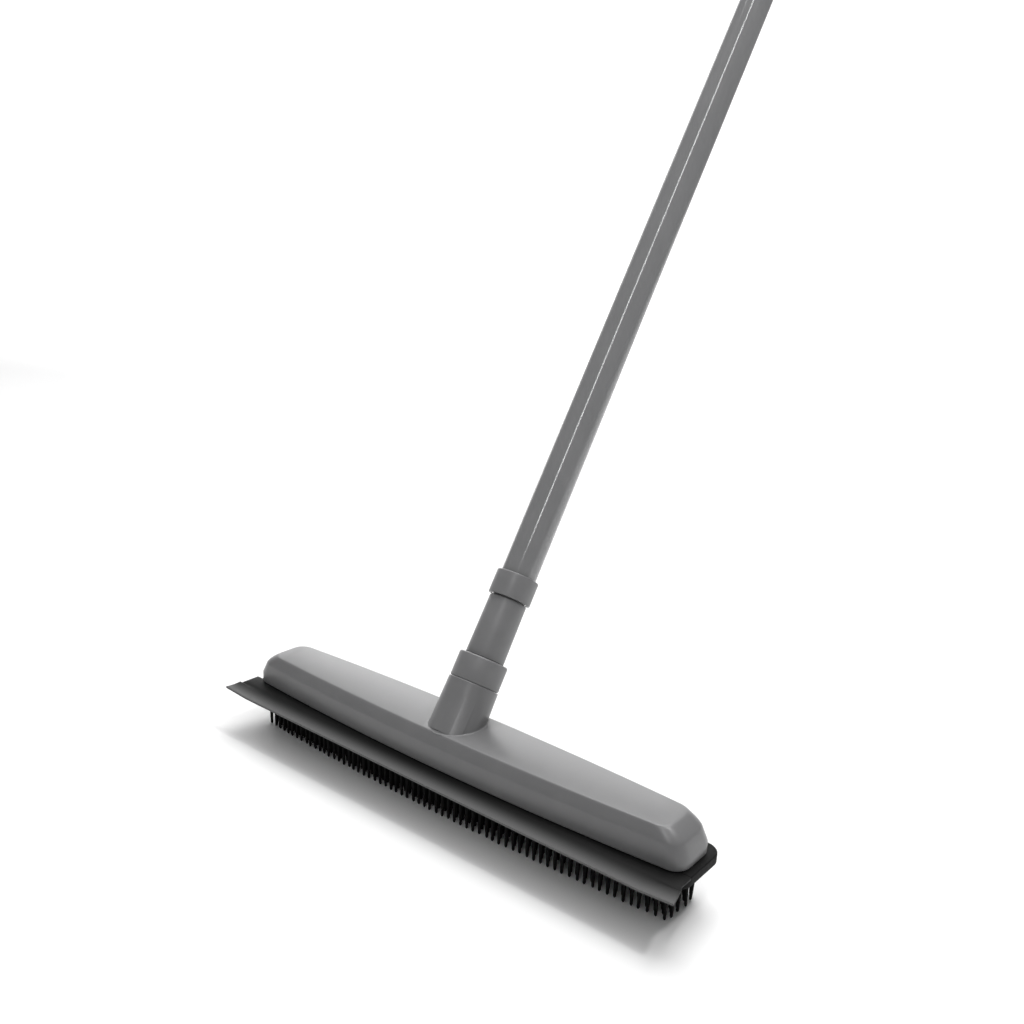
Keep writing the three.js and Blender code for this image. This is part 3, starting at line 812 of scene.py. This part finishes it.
    def draw_boss_fillet(self) -> Piece:
        """Draws the small fillet where the boss leaves the flat top."""
        lean = self.axis.lean
        radius = self.boss_foot_radius - 0.15 * MM
        rows = 7
        rings = [(-1 * MM, self.boss_fillet)]
        for i in range(rows):
            turn = math.pi / 2 * i / (rows - 1)
            rings.append((self.boss_fillet * (1 - math.cos(turn)) - 0.03 * MM,
                          self.boss_fillet * (1 - math.sin(turn)) - 0.06 * MM))
        height, spread = rings[0]
        size = (radius + spread, radius / math.cos(lean) + spread)
        centre = Vector((0, self.axis.origin.y, self.top + height))
        skirt = start_loop("boss_fillet", size[0], centre.z, 96)
        move(y=centre.y)
        stretch(1, size[1] / size[0], 1, centre)
        for height, spread in rings[1:]:
            new_size = (radius + spread, radius / math.cos(lean) + spread)
            shift = math.tan(lean) * max(height, 0)
            new_centre = Vector((0, self.axis.origin.y + shift, self.top + height))
            extrude(y=new_centre.y - centre.y, z=new_centre.z - centre.z)
            stretch(new_size[0] / size[0], new_size[1] / size[1], 1, new_centre)
            size, centre = new_size, new_centre
        close_solid()
        return skirt

    def draw_bore(self) -> Piece:
        """Draws the tool that opens the socket."""
        insert = self.axis.span("thread_insert")
        bore = turned("bore", [
            (insert.outer + 0.3 * MM, insert.low - 0.3 * MM),
            (insert.outer + 0.3 * MM, insert.high + 5 * MM),
        ], solid=True)
        return self.axis.set_on(bore)

    def build_pad(self) -> None:
        """Builds the rubber rim and the base block below it."""
        rim_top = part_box("rubber_pad")[1].z
        rim_low = rim_top - self.rim_thickness
        outline = self.plan.moved_in(-self.rim_overhang, -self.rim_end_overhang)
        rim = lens_box("rubber_rim", outline, rim_low, rim_top)
        self.shift_pad()
        front = -self.plan.half_middle
        far = 2 * (self.plan.run + 0.3 * MM)
        seat = box_tool("seat_cut", (-far, front - 20 * MM, rim_top - self.seat_depth),
                        (far, front + self.seat_reach, rim_top + 2 * MM))
        combine(rim, seat, "DIFFERENCE")
        nose = box_tool("nose_cut", (-0.2, front - 20 * MM, 0), (0.2, front + 0.3 * MM, 0.1))
        combine(rim, nose, "DIFFERENCE")
        soften(rim, 1.2 * MM, 4, 35)
        base = lens_box("pad_base", self.plan.moved_in(self.base_inset), self.base_bottom,
                        rim_low + self.base_lap)
        self.shift_pad()
        soften(base, 1.0 * MM, 3, 35)
        pad = join([rim, base], "rubber_pad_body")
        hand_over(pad, Body.HEAD, Slot.PAD, self.wardrobe, "rubber_pad")

    def shift_pad(self) -> None:
        """Moves the edited mesh to where the pad sits along the head."""
        bpy.ops.mesh.select_all(action="SELECT")
        move(x=self.pad_shift)
        close_edit()

    def draw_bristle(self, name: str, bend: float) -> Piece:
        """Draws one rubber bristle that hangs from the base, round at its tip.

        Args:
            name: The new object's name.
            bend: How far its tip leans sideways.

        Returns:
            The bristle, with its root at the base block.
        """
        root = self.bristle_root
        steps = [(1.0, 1.0), (0.55, 0.9), (0.2, 0.78), (0.04, 0.66), (0.0, 0.38)]
        radius = self.bristle_root_radius
        bristle = start_loop(name, radius, root, 7)
        height, side, size = root, 0.0, radius
        for share, thick in steps[1:]:
            lower = root * share
            new_side = bend * (1 - share) ** 1.6
            extrude(x=new_side - side, z=lower - height)
            new_size = radius * thick
            stretch(new_size / size, new_size / size, 1, (new_side, 0, lower))
            height, side, size = lower, new_side, new_size
        close_solid()
        smooth(bristle, 50)
        return bristle

    def build_bristles(self) -> None:
        """Plants the bristles in rows that follow the plan."""
        draw = random.Random(self.seed)
        kinds = [self.draw_bristle(f"bristle_kind_{i}", bend)
                 for i, bend in enumerate(self.bristle_bends)]
        plan = self.plan.moved_in(self.base_inset + self.bristle_edge)
        count = int(2 * (plan.half_length - 3 * MM) / self.bristle_pitch)
        planted = []
        for row in range(self.bristle_rows):
            across = -1 + 2 * row / (self.bristle_rows - 1)
            offset = 0.5 if row % 2 else 0.0
            for i in range(count):
                x = (i - (count - 1) / 2 + offset - 0.25) * self.bristle_pitch
                if abs(x) > plan.half_length - 1 * MM:
                    continue
                y = across * plan.half_width(x)
                if abs(x) > plan.run:
                    over = (abs(x) - plan.run) / plan.corner
                    y *= 1 - 0.25 * min(over, 1) ** 2
                copy = draw.choice(kinds).copy()
                copy.data = copy.data.copy()
                turn = Matrix.Rotation(draw.uniform(-math.pi, math.pi), 4, "Z")
                tip = Matrix.Rotation(draw.gauss(0, 0.01), 4, "X")
                copy.data.transform(Matrix.Translation((x + self.pad_shift, y, 0)) @ tip @ turn)
                bpy.context.scene.collection.objects.link(copy)
                planted.append(copy)
        for kind in kinds:
            bpy.data.objects.remove(kind)
        hand_over(join(planted, "bristles"), Body.HEAD, Slot.PAD, self.wardrobe)

    def build_blade(self) -> None:
        """Builds the squeegee: a flat root, a hollow sweep and a thin lip."""
        low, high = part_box("squeegee_blade")
        front = -self.plan.half_middle
        root = high.z - self.blade_thickness / 2
        half = high.x - 0.2 * MM
        fall = root - (low.z + self.blade_clearance)
        reach = front - low.y - 0.4 * MM
        back = front + self.blade_root
        middle = (0, (front + back) / 2, root)
        deselect()
        bpy.ops.mesh.primitive_plane_add(size=1, location=middle)
        blade = open_new("squeegee_lip")
        bpy.ops.mesh.select_all(action="SELECT")
        stretch(2 * half, back - front, 1, middle)
        pick(Pick.EDGE, lambda edge: all(abs(v.co.y - front) < 0.01 * MM for v in edge.verts))
        steps, sweep = self.blade_steps, math.pi * 0.62
        for i in range(steps):
            before, after = i / steps, (i + 1) / steps
            drop = fall * (math.sin(sweep * after) - math.sin(sweep * before))
            extrude(y=-reach / steps, z=-drop)
        for i in range(1, self.blade_slices):
            slice_at(-half + 2 * half * i / self.blade_slices)
        tidy_mesh()
        self.shape_ends(blade, front, half)
        close_edit()
        thick = blade.modifiers.new("sheet", "SOLIDIFY")
        thick.thickness = self.blade_thickness
        thick.offset = 0
        apply_all(blade)
        soften(blade, 0.3 * MM, 2, 50)
        hand_over(blade, Body.HEAD, Slot.LIP, self.wardrobe, "squeegee_blade")

    def shape_ends(self, blade: Piece, front: float, half: float) -> None:
        """Narrows the blade towards its root and flattens its two ends.

        Args:
            blade: The sheet of the blade, in edit mode.
            front: Where the cover's front edge is, across the head.
            half: Half the blade's length at its lip.
        """
        corner_half = self.plan.half_length + self.blade_overhang
        pick(Pick.VERT, lambda v: v.co.y > front - 0.1 * MM)
        stretch(corner_half / half, 1, 1, (0, 0, 0))
        data = bpy.context.edit_object.data
        rows = sorted({round(v.co.y, 5) for v in bmesh.from_edit_mesh(data).verts})
        for y in (row for row in rows if row < front - 0.1 * MM):
            share = (front - y) / (front - rows[0])
            pick(Pick.VERT, lambda v, at=y: abs(v.co.y - at) < 0.02 * MM)
            stretch((corner_half + (half - corner_half) * share ** 0.7) / half, 1, 1, (0, 0, 0))
        for side in (-1, 1):
            for depth in self.end_depths:
                pick(Pick.VERT, lambda v, s=side, d=depth: v.co.x * s > half - d
                     and v.co.y < front - 3 * MM)
                move(z=self.end_lift)


# ---- the pole ----


@dataclass
class Pole:
    """The collars, the adapter, both tubes, the twist lock, the grip and the hanging cap."""

    axis: PoleAxis
    wardrobe: Wardrobe
    facets: int = 96
    turning_gap: float = 0.15 * MM
    flutes: int = 12
    flute_depth: float = 0.9 * MM
    grip_rings: int = 7
    cap_radius: float = 12 * MM
    tab_radius: float = 11.8 * MM
    tab_half: float = 4.5 * MM
    eye_radius: float = 6.5 * MM
    pin_bore: float = 3.15 * MM

    def build(self) -> None:
        """Builds every piece on the pole."""
        self.build_socket_collar()
        self.build_adapter()
        self.build_pole_collar()
        self.build_tubes()
        self.build_lock_nut()
        self.build_grip()
        self.build_cap()

    def fit(self, name: str, stations: Sequence[Station], body: Body, slot: Slot, node: str,
            rounding: float = 0.4 * MM) -> Piece:
        """Turns a ring, rounds it and puts it on the pole in place of a node.

        Args:
            name: The new piece's name.
            stations: Radius and height of each ring, outer wall first, going up.
            body: The body it rides on.
            slot: The record's slot.
            node: The CAD node it stands for.
            rounding: The width of its rounded edges.

        Returns:
            The piece.
        """
        piece = turned(name, stations, self.facets)
        soften(piece, rounding, 3, 35)
        self.axis.set_on(piece)
        hand_over(piece, body, slot, self.wardrobe, node)
        return piece

    def build_socket_collar(self) -> None:
        """Builds the ring on the boss, with a lip that turns in over the spigot."""
        span = self.axis.span("socket_collar")
        spigot = self.axis.span("thread_insert").outer + 2.1 * MM
        self.fit("socket_ring", [
            *span.wall(0.3 * MM, 0.8 * MM, 0.7 * MM),
            (span.inner, span.high), (span.inner, span.high - 2 * MM),
            (spigot, span.high - 2 * MM), (spigot, span.low),
        ], Body.HEAD, Slot.FITTING, "socket_collar", 0.25 * MM)

    def build_adapter(self) -> None:
        """Builds the tapered sleeve with its plug below and its spigot above."""
        span = self.axis.span("handle_adapter")
        collar = self.axis.span("socket_collar")
        insert = self.axis.span("thread_insert")
        tube = self.axis.span("lower_tube")
        plug = insert.inner - self.turning_gap
        shoulder = collar.high + 0.3 * MM
        top = tube.low - 1 * MM
        spigot = tube.inner - 0.3 * MM
        self.fit("tapered_sleeve", [
            (plug - 1 * MM, span.low), (plug, span.low + 2 * MM),
            (plug, shoulder), (span.outer, shoulder),
            (span.outer - 0.4 * MM, top), (spigot, top),
            (spigot, span.high), (span.inner, span.high),
            (span.inner, span.low),
        ], Body.LOWER_POLE, Slot.FITTING, "handle_adapter", 0.3 * MM)

    def build_pole_collar(self) -> None:
        """Builds the ring at the foot of the pole."""
        span = self.axis.span("pole_collar")
        self.fit("pole_foot_ring", [
            *span.wall(0.1 * MM, 0.6 * MM, 0.5 * MM),
            (span.inner, span.high), (span.inner, span.low),
        ], Body.LOWER_POLE, Slot.FITTING, "pole_collar", 0.25 * MM)

    def build_tubes(self) -> None:
        """Builds the lower and the upper tube, each with eased ends."""
        for name, node, body in (("outer_tube", "lower_tube", Body.LOWER_POLE),
                                 ("inner_tube", "upper_tube", Body.UPPER_POLE)):
            span = self.axis.span(node)
            self.fit(name, [
                *span.wall(0.3 * MM, 0.3 * MM, 0.3 * MM),
                (span.inner, span.high), (span.inner, span.low),
            ], body, Slot.POLE, node, 0.1 * MM)

    def build_lock_nut(self) -> None:
        """Builds the twist nut with finger flutes pressed into its wall."""
        span = self.axis.span("lock_nut")
        collet = self.axis.span("lock_collet")
        bore = collet.outer + self.turning_gap
        lip = span.high - 3 * MM
        flute_low, flute_high = span.low + 8 * MM, span.high - 12 * MM
        nut = turned("twist_nut", [
            (span.outer - 1.2 * MM, span.low), (span.outer, span.low + 3 * MM),
            (span.outer, flute_low), (span.outer, flute_high),
            (span.outer, span.high - 5 * MM), (span.outer - 2 * MM, span.high),
            (span.inner, span.high), (span.inner, lip),
            (bore, lip),
            (bore, span.low),
        ], self.facets)
        open_edit(nut)
        step = 2 * math.pi / self.flutes

        def in_flute(face: bmesh.types.BMFace) -> bool:
            """Says whether a face of the wall lies in one of the flutes."""
            centre = face.calc_center_median()
            angle = math.atan2(centre.y, centre.x) % step
            outside = math.hypot(centre.x, centre.y) > span.outer - 0.4 * MM
            return outside and flute_low < centre.z < flute_high and angle > step * 0.5

        pick(Pick.FACE, in_flute)
        bpy.ops.mesh.inset(thickness=0.35 * MM, depth=0)
        bpy.ops.mesh.extrude_region_shrink_fatten(TRANSFORM_OT_shrink_fatten={
            "value": -self.flute_depth})
        close_edit()
        soften(nut, 0.3 * MM, 2, 35)
        self.axis.set_on(nut)
        hand_over(nut, Body.LOCK, Slot.FITTING, self.wardrobe, "lock_nut")

    def build_grip(self) -> None:
        """Builds the ribbed grip."""
        span = self.axis.span("grip")
        tube = self.axis.span("upper_tube")
        inner = tube.outer + 0.3 * MM
        wall = span.outer - 0.8 * MM
        stations = [(wall - 1 * MM, span.low), (wall, span.low + 2 * MM)]
        step = (span.length - 36 * MM) / self.grip_rings
        for i in range(self.grip_rings):
            z = span.low + 14 * MM + step * i
            stations += [(wall, z), (span.outer, z + step * 0.2), (span.outer, z + step * 0.32),
                         (wall, z + step * 0.52)]
        stations += [
            (wall, span.high - 3 * MM), (wall - 1.5 * MM, span.high), (span.inner, span.high),
            (span.inner, span.high - 4 * MM), (inner, span.high - 4 * MM), (inner, span.low)]
        self.fit("hand_grip", stations, Body.UPPER_POLE, Slot.FITTING, "grip", 0.5 * MM)

    def build_cap(self) -> None:
        """Builds the swivelling cap: a round foot, a flat tab and an eye."""
        span = self.axis.span("hanging_cap")
        radius, half, reach = self.cap_radius, self.tab_half, self.tab_radius
        foot_top = span.low + 6 * MM
        tab_foot = span.low + 2 * MM
        eye = span.high - radius
        foot = Span(span.low, foot_top, 0, radius)
        cap = turned("swivel_cap", foot.wall(0.6 * MM, 0.6 * MM, 1.5 * MM), self.facets, solid=True)
        tab = turned("tab_end", [(reach, -half), (reach, half)], self.facets, solid=True)
        across = Matrix.Translation((0, 0, eye)) @ Matrix.Rotation(math.pi / 2, 4, "X")
        tab.data.transform(across)
        open_edit(tab)
        pick(Pick.VERT, lambda v: v.co.z < eye - 0.01 * MM)
        stretch(1, 1, 0, (0, 0, tab_foot))
        pick(Pick.FACE, lambda face: abs(face.normal.y) < 0.5 and all(
            v.co.z < tab_foot + 0.01 * MM for v in face.verts))
        bpy.ops.mesh.dissolve_faces(use_verts=True)
        close_edit()
        hole = turned("eye_cut", [(self.eye_radius, -radius), (self.eye_radius, radius)], 64,
                      solid=True)
        hole.data.transform(across)
        combine(tab, hole, "DIFFERENCE")
        soften(tab, 1.2 * MM, 4, 40)
        combine(cap, tab, "UNION")
        pin = self.axis.span("swivel_pin")
        wide, deep = pin.outer + 0.3 * MM, radius + 1 * MM
        room = box_tool("pin_room", (-wide, -deep, foot_top - 0.3 * MM),
                        (wide, deep, pin.high + 0.3 * MM))
        combine(cap, room, "DIFFERENCE")
        bore = turned("pin_bore", [(self.pin_bore, span.low - 1 * MM),
                                   (self.pin_bore, foot_top + 1 * MM)], 48, solid=True)
        combine(cap, bore, "DIFFERENCE")
        smooth(cap, 32)
        self.axis.set_on(cap)
        hand_over(cap, Body.CAP, Slot.FITTING, self.wardrobe, "hanging_cap")


# ---- carried-over nodes, camera, lights and floor ----


def dress_nodes(wardrobe: Wardrobe) -> None:
    """Gives each CAD node that still shows the material of its own slot."""
    slots = {row["node"]: Slot(row["material_slot"]) for row in frame["record"]["subparts"]}
    for name, node in frame["nodes"].items():
        if node.hide_render:
            continue
        node.data.materials.clear()
        node.data.materials.append(wardrobe[slots[name]])
        log.info("%s keeps its shape and takes %s", name, slots[name].value)


@dataclass(frozen=True)
class View:
    """Where the camera stands and how it is turned."""

    place: tuple[float, float, float] = (0.374, -0.436, 0.344)
    yaw: float = 38.0
    pitch: float = 16.0
    roll: float = 2.8
    lens: float = 38.0

    def make(self) -> Piece:
        """Makes the camera and sets it as the scene's own."""
        camera = bpy.data.objects.new("camera", bpy.data.cameras.new("camera"))
        bpy.context.scene.collection.objects.link(camera)
        camera.data.lens = self.lens
        camera.data.sensor_width = 36
        camera.data.clip_start = 0.01
        turn = (Matrix.Rotation(math.radians(self.yaw), 4, "Z")
                @ Matrix.Rotation(math.radians(90 - self.pitch), 4, "X")
                @ Matrix.Rotation(math.radians(self.roll), 4, "Z"))
        camera.matrix_world = Matrix.Translation(self.place) @ turn
        bpy.context.scene.camera = camera
        return camera


@dataclass(frozen=True)
class Lamp:
    """A soft rectangular lamp that points at a place."""

    name: str
    place: Vector
    aim: Vector
    size: tuple[float, float]
    power: float
    upright: Vector = Vector((0, 0, 1))

    def make(self) -> None:
        """Makes the lamp, with its long side as near to upright as its aim allows."""
        data = bpy.data.lights.new(self.name, "AREA")
        data.shape = "RECTANGLE"
        data.size, data.size_y = self.size
        data.energy = self.power
        lamp = bpy.data.objects.new(self.name, data)
        bpy.context.scene.collection.objects.link(lamp)
        back = (self.place - self.aim).normalized()
        side = self.upright.cross(back).normalized()
        turn = Matrix((side, back.cross(side), back)).transposed()
        lamp.matrix_world = Matrix.Translation(self.place) @ turn.to_4x4()


@dataclass(frozen=True)
class Studio:
    """The pale floor, the soft lamps and the pale surroundings."""

    axis: PoleAxis
    camera: Piece
    strip_turn: float = -17.0
    strip_distance: float = 1.5
    strip_height: float = 1.15
    floor_tone: float = 0.9
    world_tone: float = 0.95
    world_strength: float = 0.28

    def build(self) -> None:
        """Builds the floor, the lamps and the world."""
        self.make_floor()
        self.make_world()
        for lamp in self.lamps():
            lamp.make()

    def lamps(self) -> list[Lamp]:
        """Lists the lamps."""
        middle = Vector((0, 0.05, 0.1))
        return [
            Lamp("overhead", Vector((-0.4, 0.9, 2.3)), middle, (1.8, 1.8), 50),
            Lamp("corner", Vector((0.8, 0.5, 2.0)), middle, (0.22, 0.22), 9),
            Lamp("backdrop", Vector((-1.5, 1.6, 2.6)), Vector((-2.6, 4.2, 1.6)), (2.4, 1.6), 230),
            self.strip(),
        ]

    def strip(self) -> Lamp:
        """Places a narrow lamp beside the pole, so that a thin line of light runs up it."""
        along = self.axis.along
        sight = self.camera.matrix_world.translation - self.axis.origin - along * 0.3
        across = (sight - along * sight.dot(along)).normalized()
        beside = Matrix.Rotation(math.radians(self.strip_turn), 3, along) @ across
        point = self.axis.origin + along * self.strip_height
        return Lamp("strip", point + beside * self.strip_distance, point, (0.11, 2.0), 9, along)

    def make_floor(self) -> None:
        """Makes the plain pale floor, which sweeps up behind the broom into a plain pale wall."""
        deselect()
        half, rise, bend = 5.0, 4.0, 1.5
        bpy.ops.mesh.primitive_plane_add(size=2 * half, location=(0, 0, 0))
        floor = open_new("studio_floor")
        pick(Pick.EDGE, lambda edge: all(vert.co.y > half - 0.1 for vert in edge.verts))
        extrude(z=rise)
        pick(Pick.EDGE, lambda edge: all(v.co.y > half - 0.1 and v.co.z < 0.1 for v in edge.verts))
        bpy.ops.mesh.bevel(offset=bend, segments=24, affect="EDGES")
        close_edit()
        floor.data.transform(Matrix.Rotation(self.camera.matrix_world.to_euler().z, 4, "Z"))
        smooth(floor, 60)
        material = bpy.data.materials.new("studio_floor")
        material.use_nodes = True
        shader = material.node_tree.nodes["Principled BSDF"]
        shader.inputs["Base Color"].default_value = (*[self.floor_tone] * 3, 1)
        shader.inputs["Roughness"].default_value = 0.9
        floor.data.materials.append(material)

    def make_world(self) -> None:
        """Makes the pale surroundings that light the broom softly, and shows tones as they are."""
        world = bpy.data.worlds.new("studio")
        world.use_nodes = True
        background = world.node_tree.nodes["Background"]
        background.inputs["Color"].default_value = (*[self.world_tone] * 3, 1)
        background.inputs["Strength"].default_value = self.world_strength
        bpy.context.scene.world = world
        bpy.context.scene.view_settings.view_transform = "Standard"


def main() -> None:
    """Builds the broom, its finishes and the studio."""
    logging.basicConfig(level=logging.INFO, format="%(name)s %(message)s")
    axis = PoleAxis.from_joint("handle_turn")
    camera = View().make()
    wardrobe = Wardrobe(axis.lean)
    Head(axis, wardrobe).build()
    Pole(axis, wardrobe).build()
    dress_nodes(wardrobe)
    Studio(axis, camera).build()
    deselect()


if __name__ == "__main__":
    main()
